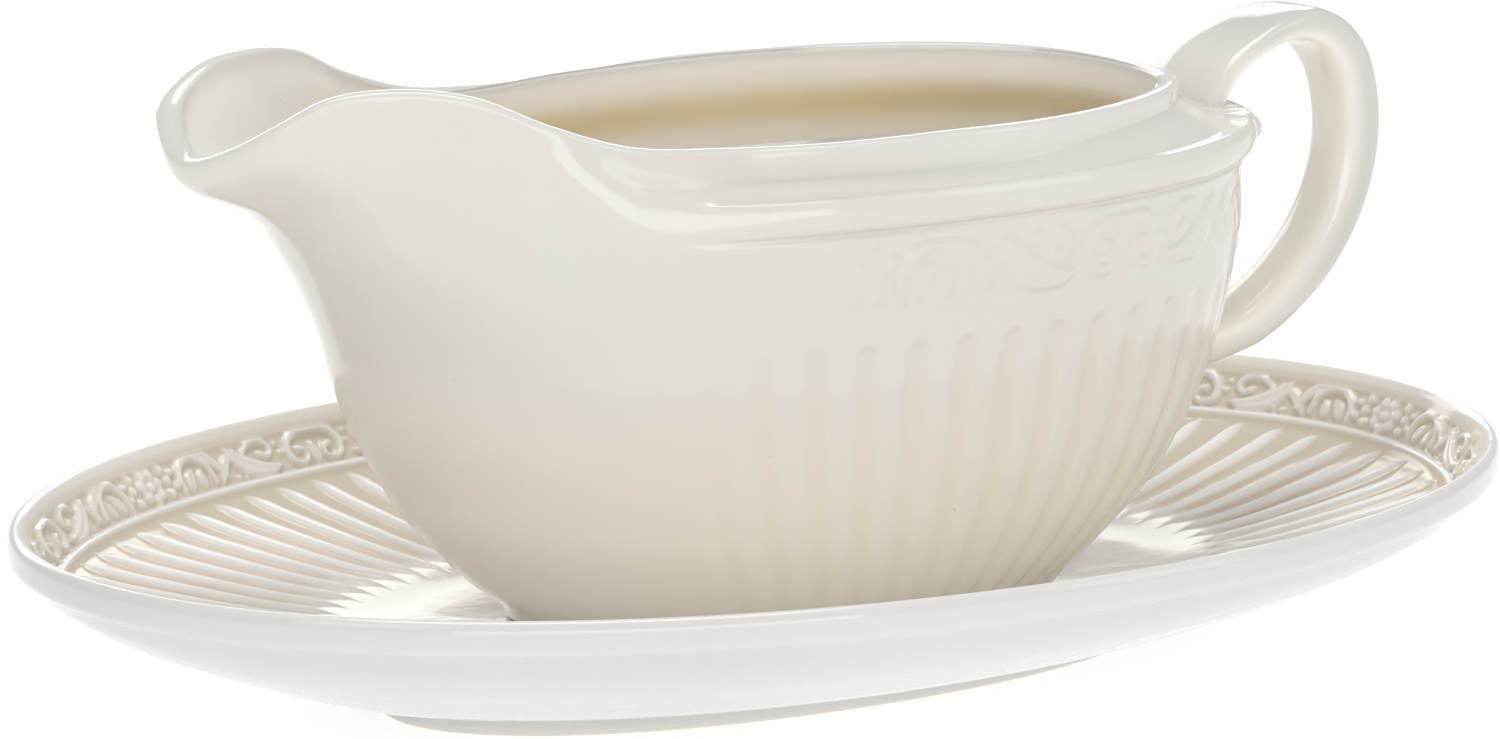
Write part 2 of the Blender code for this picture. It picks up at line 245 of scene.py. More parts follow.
# ==================================================================== saucer
FLUTES = 80
SAUCER_N = 1600
FLOOR_Z, SAUCER_H = 9.8, 29.6
WELL = (74.5, 43.5)            # edge of the flat well
FLUTE_END = (109.0, 72.4)      # outer ends of the flutes

# top of the saucer: half length, half width, height
TOP = np.array([(18, 9, 9.8), (40, 20, 9.8), (60, 33.5, 9.8), (68, 38.5, 10.35), (74.5, 43.5, 11.7),
                (84, 51.2, 13.5), (97, 62, 16.4), (105, 68.9, 18.4), (109, 72.4, 19.6), (111.2, 74.4, 20.4),
                (112.8, 76.0, 21.4), (114.1, 77.5, 23.0), (115.4, 79.0, 25.0), (116.6, 80.3, 27.0),
                (117.5, 81.3, 28.6)], float)
# rolled rim and the upright band outside it
EDGE = np.array([(117.8, 81.6, 29.05), (118.25, 82.05, 29.4), (118.8, 82.6, 29.58), (119.35, 83.15, 29.45),
                 (119.8, 83.6, 29.05), (120.1, 83.9, 28.4), (120.2, 84.0, 27.5), (120.2, 84.0, 26.6),
                 (120.15, 83.95, 25.7), (119.95, 83.75, 25.1), (119.5, 83.3, 24.7), (118.95, 82.75, 24.45),
                 (118.5, 82.3, 24.1)], float)
FOOT_A, FOOT_B = 66.0, 31.6
UNDER = [(23.5, 2.2), (22.3, 3.2), (21.15, 4.6), (19.9, 6.4), (18.5, 8.7), (17.0, 11.5), (15.4, 14.9), (13.8, 18.8),
         (12.2, 22.7), (10.6, 26.8), (9.1, 30.6), (7.7, 34.4), (6.3, 38.6), (5.0, 43.0), (4.2, 47.0), (3.7, 50.2),
         (3.4, 52.4), (3.1, 53.4), (2.7, 53.9)]


def even_angles(a, b, count):
    t = np.linspace(0, 2 * np.pi, 40001)
    s = np.concatenate([[0], np.cumsum(np.hypot(np.diff(a * np.cos(t)), np.diff(b * np.sin(t))))])
    return np.interp(np.linspace(0, s[-1], count, endpoint=False), s, t)


def oval(th, a, b, z, n=2.04):
    c, s = np.cos(th), np.sin(th)
    return np.stack([a * np.sign(c) * np.abs(c) ** (2 / n), b * np.sign(s) * np.abs(s) ** (2 / n),
                     np.full(len(th), float(z))], 1)


def make_saucer(material):
    th = even_angles(FLUTE_END[0], FLUTE_END[1], SAUCER_N)
    k = np.arange(SAUCER_N) / SAUCER_N
    s = np.concatenate([[0], np.cumsum(np.hypot(np.diff(TOP[:, 0]), np.diff(TOP[:, 2])))])
    well = s[4]
    end = s[8]
    line = s[10] - 0.2
    last = s[-1]
    u = np.concatenate([np.linspace(s[2], well - 1.2, 8, endpoint=False),
                        np.linspace(well - 1.2, end - 5.0, 30, endpoint=False),
                        np.linspace(end - 5.0, end + 1.2, 16, endpoint=False),
                        np.linspace(end + 1.2, last, 34)])
    prof = cubic(s, TOP, u)
    g = np.stack([oval(th, *p) for p in prof])
    nrm = grid_normals(g)
    if nrm[0, 0, 2] < 0:
        nrm = -nrm
    # distance out along each column, and the pitch of the flutes there
    step = np.sqrt((np.diff(g, axis=0) ** 2).sum(2))
    out = np.concatenate([np.zeros((1, SAUCER_N)), np.cumsum(step, 0)])

    def at(value):
        i = int(np.clip(np.searchsorted(u, value) - 1, 0, len(u) - 2))
        t = (value - u[i]) / (u[i + 1] - u[i])
        return out[i] * (1 - t) + out[i + 1] * t

    r0, r1, rl, rt = at(well - 1.0), at(end), at(line), at(s[13] + 0.2)
    pitch = np.sqrt(((np.roll(g, -1, 1) - np.roll(g, 1, 1)) ** 2).sum(2)) * SAUCER_N / (2 * FLUTES)
    ph = k * FLUTES + 0.5
    across = (ph - np.floor(ph) - 0.5)[None] * pitch
    rr = out - r0[None]
    span = (r1 - r0)[None]
    part = np.clip(rr / span, 0, 1)
    rise = smooth(0.0, 0.30, part)
    # slender ridges between the flutes, coming to a point at both ends
    tip = np.clip(np.minimum(rr / 4.0, (span + 2.3 - rr) / 3.6), 0, 1) ** 0.42
    wide = (0.64 + 0.54 * smooth(0.1, 0.85, part)) * (0.2 + 0.8 * tip)
    off = (pitch / 2 - np.abs(across)) / wide
    ridge = np.clip(1 - off ** 2, 0, 1) ** 0.62 * tip
    height = 1.12 * (0.5 + 0.5 * rise) * ridge
    sink = 0.62 * rise
    hollow = 0.16 * rise * np.clip(1 - (2 * across / pitch) ** 2, 0, 1) * (1 - smooth(-4.0, 0.5, rr - span))
    # the plain band beyond the ridges eases back to the raised line
    ease = smooth(2.0, 4.2, rr - span)
    flutes = height + (-sink - hollow) * (1 - ease)
    flutes = np.where(rr < 0, 0, flutes)
    bead = 0.36 * np.exp(-((out - rl[None]) / 0.36) ** 2) - 0.22 * np.exp(-((out - rl[None] - 1.0) / 0.45) ** 2)
    v = (out - rl[None] - 0.55) / (rt - rl - 0.55)[None]
    motif = border_at(np.broadcast_to((k * 16)[None], v.shape), v)
    relief = 1.25 * motif - 0.32 * smooth(0.0, 0.12, v) * smooth(1.0, 0.86, v)
    # slow unevenness of the cast surface
    wob = 0.05 * np.sin(5 * 2 * np.pi * k + 1.3)[None] * smooth(0, 20, out) + 0.035 * np.sin(11 * 2 * np.pi * k)[None]
    g = g + nrm * (flutes + bead + relief + wob * smooth(0, 6, out))[..., None]
    # glaze gathers in the hollows and runs thin over the raised lines
    clear = smooth(1.25, 0.75, off) * tip
    ground = smooth(-0.02, 0.34, part) * smooth(0.5, -0.3, out - rl[None] + 0.5)
    fl_pool = ground * (1 - clear)
    rel_pool = (1 - 0.62 * smooth(0.15, 0.6, motif)) * smooth(0.0, 0.05, v) * (v < 1)
    cove = (v >= 1) * (1 - 0.45 * smooth(0.3, 1.0, (out - rt[None]) / 1.8))
    pool_and_painted_light = np.clip(fl_pool + 0.84 * rel_pool + 0.74 * cove + 0.2 * (1 - smooth(-3, 4.0, rr)) * (rr < span), 0, 1)

    rings = [oval(th[::4], *p) for p in cubic(s, TOP, np.linspace(0.0, s[2], 10, endpoint=False))]
    pools_and_painted_light = [np.full(SAUCER_N // 4, 0.2) for _ in rings]
    rings.append(oval(th[::2], *cubic(s, TOP, np.array([s[2] - 0.4]))[0]))
    pools_and_painted_light.append(np.full(SAUCER_N // 2, 0.2))
    for row, pl in zip(g, pool_and_painted_light):
        rings.append(row)
        pools_and_painted_light.append(pl)
    upper = len(rings)
    h2 = th[::2]
    tab = np.concatenate([EDGE, [(120.2 - dd, 84.0 - dd * (84.0 - FOOT_B) / (120.2 - FOOT_A), z) for z, dd in UNDER]])
    ss = np.concatenate([[0], np.cumsum(np.hypot(np.diff(tab[:, 0]), np.diff(tab[:, 2])))])
    fine = np.concatenate([np.linspace(0, ss[12], 26, endpoint=False), np.linspace(ss[12], ss[-1], 40)])
    for p in cubic(ss, tab, fine):
        wobble = 0.0
        rings.append(oval(h2, p[0], p[1], p[2], 2.04 + wobble))
        # painted shade: a darker band on the underside just below the upright rim band, where the undercut lies in
        # shade
        under = float(smooth(25.2, 23.8, p[2]) * smooth(14.0, 21.5, p[2]))
        pools_and_painted_light.append(np.full(SAUCER_N // 2, 0.16 + 0.34 * float(smooth(upper + 7, upper, len(rings))) + 0.16 * under))
    h4 = th[::4]
    first = True
    for a, z in ((0, 2.2), (0, 1.4), (0.1, 0.75), (0.3, 0.35), (0.65, 0.1), (1.1, 0.0), (2.9, 0.0), (3.3, 0.1),
                 (3.7, 0.5), (4.0, 1.2), (4.3, 2.2), (4.8, 3.2), (5.8, 4.1), (8.0, 4.75), (14, 5.0)):
        t = h2 if first else h4
        rings.append(oval(t, FOOT_A - a, FOOT_B - a, z, 2.1))
        pools_and_painted_light.append(np.full(len(t), 0.2))
        first = False
    rings.append(oval(h4, 26, 10, 5.1, 2.1))
    pools_and_painted_light.append(np.full(len(h4), 0.2))
    # painted light: the dish's upper surfaces take the glaze's brighter inner colour pair, fading out over the rim;
    # the underside keeps the darker colours
    inside_painted_light = [np.full(len(r), 1.0 if k < upper else float(smooth(upper + 9, upper, k))) for k, r in enumerate(rings)]
    return build_mesh('saucer_dish', rings, {'pool_and_painted_light': pools_and_painted_light, 'inside_painted_light': inside_painted_light}, material)


# ====================================================================== boat
GAP = 0.3
BOAT_X = 1.2                   # the boat stands this far towards the handle's end
BOAT_Z = FLOOR_Z + GAP
WALL = 3.9
RIM_HALF, LIP_EXTRA, LIP_ROLL = 1.55, 0.45, 2.4
FOOT_RIM = 1.7
SPOUT_FROM = 54.0
FLARE = np.array([(0.0, 0.0), (0.2, 0.025), (0.33, 0.065), (0.47, 0.125), (0.6, 0.205), (0.667, 0.265),
                  (0.733, 0.355), (0.8, 0.485), (0.867, 0.68), (0.933, 0.885), (1.0, 1.0)])
MOULD_START, MOULD_FULL = -54.0, -18.0
RIM_PTS = [(62.5, 0, 86.4), (60.0, 14.1, 86.6), (51.9, 25.3, 86.8), (38.0, 34.6, 86.8),
           (19.8, 39.9, 86.6), (3.6, 40.7, 86.6), (-14.6, 38.2, 86.1), (-30.8, 34.6, 86.3),
           (-46.1, 32.9, 87.7), (-58.0, 31.7, 91.6), (-68.1, 27.1, 96.0), (-78.0, 22.2, 97.2),
           (-86.4, 19.0, 96.2), (-93.0, 15.7, 92.5), (-95.8, 10.0, 89.3), (-97.9, 0, 86.5)]
PLAN = np.array([(10.1, 43.5, 44.0, 30.0), (12.5, 44.8, 46.2, 31.2), (17.0, 50.6, 51.5, 34.4),
                 (22.5, 56.2, 58.0, 37.2), (28.7, 61.8, 63.6, 39.6), (35.0, 65.6, 67.6, 41.4),
                 (42.0, 69.4, 71.0, 42.9), (49.4, 72.1, 73.5, 44.0), (56.0, 73.8, 75.2, 44.9),
                 (62.6, 76.0, 76.2, 45.5), (73.5, 79.5, 76.8, 46.2), (75.8, 80.0, 77.9, 46.3),
                 (79.2, 80.6, 78.1, 46.4), (86.5, 82.0, 78.1, 46.6)])
PLAN_N = 2.15
BOAT_HALF = 331                # points along half a ring


def closed_table(points):
    p = np.array(points, float)
    flip = np.array([1, -1, 1])
    q = np.concatenate([(p[1:3] * flip)[::-1], p, (p[-3:-1] * flip)[::-1]])
    s = np.concatenate([[0], np.cumsum(np.sqrt((np.diff(q, axis=0) ** 2).sum(1)))])
    s -= s[2]
    return s, q, s[-3]


RIM_S, RIM_Q, RIM_LEN = closed_table(RIM_PTS)


def rim(s):
    return cubic(RIM_S, RIM_Q, np.asarray(s, float) * RIM_LEN)


def plan(c, z, inset=0.0):
    al = cubic(PLAN[:, 0], PLAN[:, 1], z) - inset
    ar = cubic(PLAN[:, 0], PLAN[:, 2], z) - inset
    b = cubic(PLAN[:, 0], PLAN[:, 3], z) - inset
    x = np.where(c < 0, c * al, c * ar)
    y = b * np.clip(1 - np.abs(c) ** PLAN_N, 0, 1) ** (1 / PLAN_N)
    return x, y


class Boat:
    """Half rings of the bowl's skin from the handle's end (first) to the lip (last)."""

    def __init__(self, count):
        s = np.linspace(0, 1, count)
        r = rim(s)
        e = 4e-3
        d = rim(np.clip(s + e, 0, 1)) - rim(np.clip(s - e, 0, 1))
        d[0], d[-1] = (0, 1, 0), (0, -1, 0)
        n = np.stack([d[:, 1], -d[:, 0]], 1)
        n /= np.hypot(n[:, 0], n[:, 1])[:, None]
        r[0, 1] = r[-1, 1] = 0.0
        self.rim, self.nrm = r, n
        self.c = np.clip(np.where(r[:, 0] < 0, -r[:, 0] / RIM_PTS[-1][0], r[:, 0] / RIM_PTS[0][0]), -1, 1)
        self.lip = smooth(-84, -96, r[:, 0])
        self.half = RIM_HALF + LIP_EXTRA * self.lip
        self.round = 0.9 + 0.5 * self.lip
        self.m = smooth(MOULD_START, MOULD_FULL, r[:, 0])
        self.zrim = r[:, 2]

    def at_rim(self, off, dz):
        return np.stack([self.rim[:, 0] + self.nrm[:, 0] * off, self.rim[:, 1] + self.nrm[:, 1] * off,
                         self.zrim + dz], 1)

    def flare(self, z):
        end = 86.4 - LIP_ROLL * self.lip
        u = np.clip((z - SPOUT_FROM) / (end - SPOUT_FROM), 0, 1)
        return cubic(FLARE[:, 0], FLARE[:, 1], u)

    def spout(self, z, off, dz, inset):
        x, y = plan(self.c, z, inset)
        xt, yt = plan(self.c, 86.4, inset)
        h = self.flare(z)
        r = self.at_rim(off, dz)
        zz = np.minimum(z, 86.4)
        return np.stack([x + h * (r[:, 0] - xt), y + h * (r[:, 1] - yt), zz + h * (r[:, 2] - 86.4)], 1)

    def outer(self, z, bulge=0.0):
        base = self.spout(z, self.half, -self.round, 0.0)
        x, y = plan(self.c, z, -bulge)
        side = np.stack([x, y, np.full_like(x, z)], 1)
        m = self.m[:, None]
        return base * (1 - m) + side * m

    def band_z(self):
        return 81.4 + 2.4 * smooth(0, 50, self.rim[:, 0])

    def cove(self, f, z):
        base = self.spout(z, self.half, -self.round, 0.0)
        x, y = plan(self.c, 79.2)
        r = self.at_rim(self.half, 0)
        zb = self.band_z()
        side = np.stack([x + f * (r[:, 0] - x), y + f * (r[:, 1] - y), 79.3 + (zb - 79.3) * f ** 2.2], 1)
        m = self.m[:, None]
        return base * (1 - m) + side * m

    def band(self, f, z):
        base = self.spout(z, self.half, -self.round, 0.0)
        r = self.at_rim(self.half, -self.round)
        zb = self.band_z()
        r[:, 2] = zb + (r[:, 2] - zb) * f
        m = self.m[:, None]
        return base * (1 - m) + r * m

    def inner(self, z, inset):
        base = self.spout(z, -self.half, -self.round, inset)
        x, y = plan(self.c, z, inset)
        r = self.at_rim(-self.half, 0)
        k = smooth(73.0, 81.5, z)
        side = np.stack([x + k * (r[:, 0] - x), y + k * (r[:, 1] - y), np.full_like(x, z)], 1)
        m = self.m[:, None]
        return base * (1 - m) + side * m


def moulding(z):
    """Outward bulge of the collar: a fine line, then a half-round bead."""
    line = -0.42 * np.exp(-((z - 73.9) / 0.38) ** 2)
    bead = 1.02 * math.sqrt(max(0.0, 1 - ((z - 76.75) / 2.6) ** 2))
    return float(line + bead)


def mirror(r):
    return np.concatenate([r, (r[1:-1] * [1, -1, 1])[::-1]])


def both(a):
    return np.concatenate([a, a[1:-1][::-1]])


def boat_ornament(b, g, kinds):
    """Height of flutes, scroll band, leaf and capital over the outside of the bowl."""
    rows, n = g.shape[:2]
    x, y, z = g[..., 0], g[..., 1], g[..., 2]
    # length along the wall from the middle of the side, where x = 0, at the flutes' tops
    px, py = plan(b.c, 57.0)
    t = np.concatenate([[0], np.cumsum(np.hypot(np.diff(px), np.diff(py)))])
    zero = np.interp(0.0, b.c[::-1], t[::-1])
    t = both(zero - t)                         # grows towards the handle
    c = both(b.c)
    zn = np.array([kk[1] for kk in kinds])[:, None]        # nominal height of each row
    pitch0, centre = 8.4, 3.7
    ph = (t - centre) / pitch0 + 0.5
    frac = (ph - np.floor(ph) - 0.5)[None]
    ax, _ = plan(b.c, 57.0)
    shrink = np.array([float(cubic(PLAN[:, 0], PLAN[:, 2], kk[1])) / 75.4 for kk in kinds])[:, None]
    pitch = pitch0 * shrink
    across = frac * pitch
    half = 0.25 * pitch
    top = 57.4 - half
    d = np.where(zn > top, np.hypot(across, np.maximum(zn - top, 0)) - half, np.abs(across) - half)
    strength = smooth(-44.0, -16.0, x) * smooth(10.4, 14.5, zn) * (zn < 60)
    shape = 1 - smooth(-1.3, 0.75, d)
    flute = -0.30 * shape * strength
    # darker, warmer tint in the flutes: glaze pooling and painted shade
    pool_and_painted_light = 0.12 * shape * strength
    # scroll band under the collar
    v = (zn - 62.2) / 10.0
    along = t / (REPEAT * 1.33) + 8.35
    motif = border_at(np.broadcast_to(along[None], (rows, n)), np.broadcast_to(v, (rows, n)))
    fade = smooth(-34.0, -6.0, x) * smooth(19.0, 22.0, np.abs(y) + 60 * (x < 40))
    scroll = 0.48 * motif * fade
    # leaf under the handle's root
    e = (x > 0)
    width = 16.2 - 0.045 * (74.0 - zn) + 0.85 * np.abs(np.sin(np.pi * (zn - 49.0) / 7.6)) ** 0.7
    dd = width - np.abs(y)
    live = smooth(44.0, 50.0, zn) * smooth(74.2, 73.2, zn) * e
    lobe = (zn - 49.0) / 7.6
    lobe = lobe - np.floor(lobe)
    leaf = 0.75 * smooth(0.0, 0.9, dd)
    vein = np.exp(-((dd - 2.6 - 1.1 * lobe) / 0.34) ** 2) + 0.9 * np.exp(-((dd - 5.6 - 1.7 * lobe) / 0.4) ** 2)
    rib = np.exp(-((dd - 8.8 - 0.6 * lobe) / 0.5) ** 2)
    leaf = (leaf - 0.42 * vein + 0.25 * rib) * live
    # capital on the collar: swells out and comes to a soft point
    ay = np.abs(y)
    cap = smooth(18.6, 16.6, ay) * e
    valley = np.exp(-((ay - 18.4) / 0.75) ** 2) * e
    body = np.exp(-((zn - 76.9) / 1.9) ** 2)
    capital = (1.15 * cap - 0.75 * valley) * body
    side = np.array([1.0 if kk[0] == 'outer' else 0.0 for kk in kinds])[:, None]
    cove = np.array([1.0 if kk[0] == 'cove' else 0.0 for kk in kinds])[:, None]
    h = (flute + scroll + leaf + capital) * side
    # low ridge across the shelf, from the strap's corner to the tip of the capital
    h = h + cove * e * 0.35 * np.exp(-((ay - 12.0 - 0.35 * (78 - x)) / 1.1) ** 2) * smooth(1.0, 0.6, (79 - x) / 14)
    # the leaf's sunk veins take the same darker tint: glaze pooling and painted shade
    pool_and_painted_light = pool_and_painted_light * side + 0.35 * np.clip(vein, 0, 1) * live * side + 0.04 * fade * side * smooth(0, .1, v) * smooth(1, .9, v)
    return h, np.clip(pool_and_painted_light, 0, 1)


def make_boat(material):
    b = Boat(BOAT_HALF)
    n = 2 * (BOAT_HALF - 1)
    rings, pools_and_painted_light, within = [], [], []

    def flat(z, inset, dz=0.0, pl=0.3, fewer=1):
        x, y = plan(b.c, z, inset)
        r = mirror(np.stack([x, y, np.full_like(x, z + dz)], 1))[::fewer]
        rings.append(r)
        pools_and_painted_light.append(np.full(len(r), pl))

    flat(BOAT_Z, 24.0, FOOT_RIM, fewer=2)
    for inset, dz in ((12.0, FOOT_RIM), (6.0, FOOT_RIM), (5.0, FOOT_RIM - 0.15), (4.4, FOOT_RIM - 0.5), (3.9, 0.9),
                      (3.5, 0.35), (3.1, 0.08), (2.6, 0.0), (1.4, 0.0), (0.8, 0.05)):
        flat(BOAT_Z, inset, dz)
    rows, kinds = [], []
    x, y = plan(b.c, BOAT_Z, 0.3)
    rows.append(np.stack([x, y, np.full_like(x, BOAT_Z + 0.3)], 1))
    kinds.append(('foot', BOAT_Z))
    zs = np.concatenate([[10.9, 11.4, 12.0, 12.6], np.linspace(13.3, 52.0, 44), np.linspace(52.7, 58.6, 11),
                         np.linspace(59.4, 61.6, 3), np.linspace(62.1, 72.4, 27), [72.8, 73.1],
                         np.linspace(73.35, 79.3, 25)])
    for z in zs:
        rows.append(b.outer(z, moulding(z) if z > 72.7 else 0.0))
        kinds.append(('outer', float(z)))
    for f in np.linspace(0, 1, 12)[1:]:
        rows.append(b.cove(f, 79.3 + 2.2 * f))
        kinds.append(('cove', 79.3 + 2.2 * f))
    for f in (0.06, 0.14, 0.26, 0.42, 0.6, 0.8, 1.0):
        rows.append(b.band(f, 81.5 + 4.9 * f))
        kinds.append(('band', 81.5 + 4.9 * f))
    g = np.stack([mirror(r) for r in rows])
    nrm = grid_normals(g)
    if (nrm[20, 0] * [1, 0, 0]).sum() < 0:
        nrm = -nrm
    h, pl = boat_ornament(b, g, kinds)
    g = g + nrm * h[..., None]
    # the lip's roll swells a little below its edge
    for row, p in zip(g, pl):
        rings.append(row)
        pools_and_painted_light.append(0.12 + p)
    top = b.half[:, None]
    up = b.at_rim(0, 0)
    n3 = np.concatenate([b.nrm, np.zeros((BOAT_HALF, 1))], 1)
    for deg in (15, 30, 45, 60, 75, 90, 105, 120, 135, 150, 165):
        a = math.radians(deg)
        lift = b.round * (math.sin(a) - 1.0)
        rings.append(mirror(up + n3 * top * math.cos(a) + np.stack([0 * lift, 0 * lift, lift], 1)))
        pools_and_painted_light.append(np.full(n, 0.0))
    for z in np.concatenate([[86.4, 85.6], np.linspace(84.6, 70.0, 20), np.linspace(68.5, 20.5, 34), [19.6, 19.0]]):
        inset = WALL + 2.3 * float(smooth(45.0, 18.0, z))
        r = mirror(b.inner(float(z), inset))
        rings.append(r)
        # the far wall gets a golden band just below the shoulder, where the wall recedes: painted shade together with
        # glaze pooling; the lower bowl gathers a little pooling too
        deep = float(smooth(85.0, 80.0, z))
        bowl = smooth(-74.0, -40.0, r[:, 0])
        pools_and_painted_light.append(0.02 + 0.16 * float(smooth(42.0, 17.0, z)) + (0.14 * deep + 0.60 * math.exp(-((z - 77.3) / 3.1) ** 2)) * bowl)
        within.append((len(rings) - 1, float(smooth(86.6, 84.0, z))))
    for z, inset in ((18.5, 6.9), (18.0, 7.5), (17.5, 8.3), (17.0, 9.4), (16.6, 10.9), (16.3, 12.8), (16.05, 15.0)):
        flat(z, inset, 0.0, 0.34)
    flat(15.9, 18.0, 0.0, 0.36, fewer=2)
    flat(15.75, 26.0, 0.0, 0.38, fewer=2)
    # painted light: the bowl's inner surfaces take the glaze's brighter inner colour pair, easing in just below the
    # rim
    level = dict(within)
    first = within[0][0]
    inside_painted_light = [np.full(len(r), level.get(k, 1.0 if k > first else 0.0)) for k, r in enumerate(rings)]
    return build_mesh('boat_bowl', rings, {'pool_and_painted_light': pools_and_painted_light, 'inside_painted_light': inside_painted_light}, material, BOAT_X)


# ==================================================================== handle
HANDLE = np.array([(72.6, 77.2, 4.8, 9.8), (73.8, 79.6, 4.5, 9.4), (76.0, 82.8, 4.2, 9.0),
                   (79.5, 85.8, 4.1, 8.6), (83.8, 88.0, 4.3, 8.2), (88.8, 89.6, 4.8, 7.6), (94.0, 89.7, 5.6, 7.0),
                   (98.7, 87.9, 6.9, 6.4), (102.5, 83.8, 7.9, 5.9), (104.6, 77.4, 8.5, 5.6), (104.9, 70.2, 8.7, 5.5),
                   (103.2, 62.8, 8.6, 5.5), (99.6, 55.8, 8.3, 5.6), (94.4, 49.8, 8.0, 5.7), (88.2, 45.2, 7.6, 5.9),
                   (81.8, 42.0, 7.4, 6.2), (75.4, 39.6, 7.9, 6.7), (69.4, 38.1, 8.8, 7.4)])


def make_handle(material):
    h = HANDLE
    s = np.concatenate([[0], np.cumsum(np.hypot(np.diff(h[:, 0]), np.diff(h[:, 1])))])
    steps, seg = 200, 64
    t = np.linspace(0, s[-1], steps)
    p = cubic(s, h, t)
    for _ in range(6):
        p[1:-1] = (p[:-2] + 2 * p[1:-1] + p[2:]) / 4
    d = np.gradient(p[:, :2], axis=0)
    d /= np.hypot(d[:, 0], d[:, 1])[:, None]
    th = np.linspace(0, 2 * np.pi, seg, endpoint=False)
    rings, pools_and_painted_light = [], []
    for i, ((x, z, tk, hw), (dx, dz)) in enumerate(zip(p, d)):
        f = i / (steps - 1)
        nn = 3.4 - 0.7 * float(smooth(0.25, 0.55, f))
        c = np.sign(np.cos(th)) * np.abs(np.cos(th)) ** (2 / nn)
        q = np.sign(np.sin(th)) * np.abs(np.sin(th)) ** (2 / nn)
        nx, nz = -dz, dx
        r = np.stack([x + nx * q * tk / 2, c * hw, z + nz * q * tk / 2], 1)
        # the lower end leans over to lie along the slope of the wall, 2 mm deep in it
        lean = float(smooth(0.84, 1.0, f))
        if lean > 0:
            reach = cubic(PLAN[:, 0], PLAN[:, 2], r[:, 2])
            width = cubic(PLAN[:, 0], PLAN[:, 3], r[:, 2])
            skin = reach * (1 - (np.abs(r[:, 1]) / width) ** PLAN_N) ** (1 / PLAN_N)
            r[:, 0] += lean * (skin - 2.0 - r[:, 0])
        rings.append(r)
        # painted light: on the handle the pooled colour is the brighter one, so this lifts the lower end, the inner
        # face and the upper root, where the strap lies in shade
        painted_lift_low = float(smooth(0.62, 0.88, f))
        pools_and_painted_light.append(np.clip(0.08 + 0.80 * smooth(0.20, -0.85, q) + 0.50 * painted_lift_low
                             + 0.40 * float(smooth(0.18, 0.08, f)), 0, 1))
    return build_mesh('boat_strap', rings, {'pool_and_painted_light': pools_and_painted_light}, material, BOAT_X)


